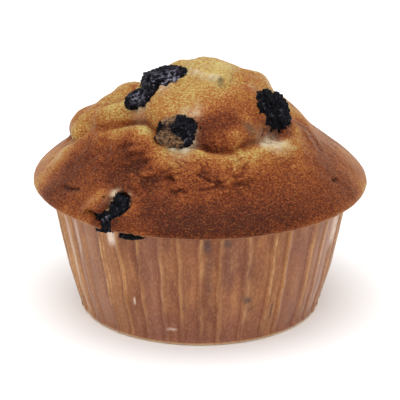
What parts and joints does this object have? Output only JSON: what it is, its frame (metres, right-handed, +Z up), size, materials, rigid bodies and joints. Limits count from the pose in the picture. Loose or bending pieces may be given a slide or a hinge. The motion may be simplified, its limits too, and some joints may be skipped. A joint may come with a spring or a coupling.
{
  "type": "muffin",
  "caption": "Domed berry muffin whose folded, browned crown overhangs a pleated, greased paper case with a flat bottom.",
  "frame": {"origin": "middle of the paper case's flat bottom", "axes": "+Z up through the crown; -Y towards the side where most berries show; +X to the right of that side"},
  "size_m": [0.082, 0.082, 0.063],
  "materials": {
    "crust": "baked crust, golden on top and brown on the flanks, finely grained",
    "greased_paper": "thin pleated baking paper, soaked with butter and half see-through",
    "berry_skin": "dark, wrinkled, dried berry skin"
  },
  "bodies": {
    "root": {"cake": "crust", "paper_case": "greased_paper", "berry_top_large": "berry_skin", "berry_top_small": "berry_skin", "berry_middle": "berry_skin", "berry_right": "berry_skin", "berry_lower_left": "berry_skin", "berry_rim": "berry_skin"}
  },
  "joints": []
}
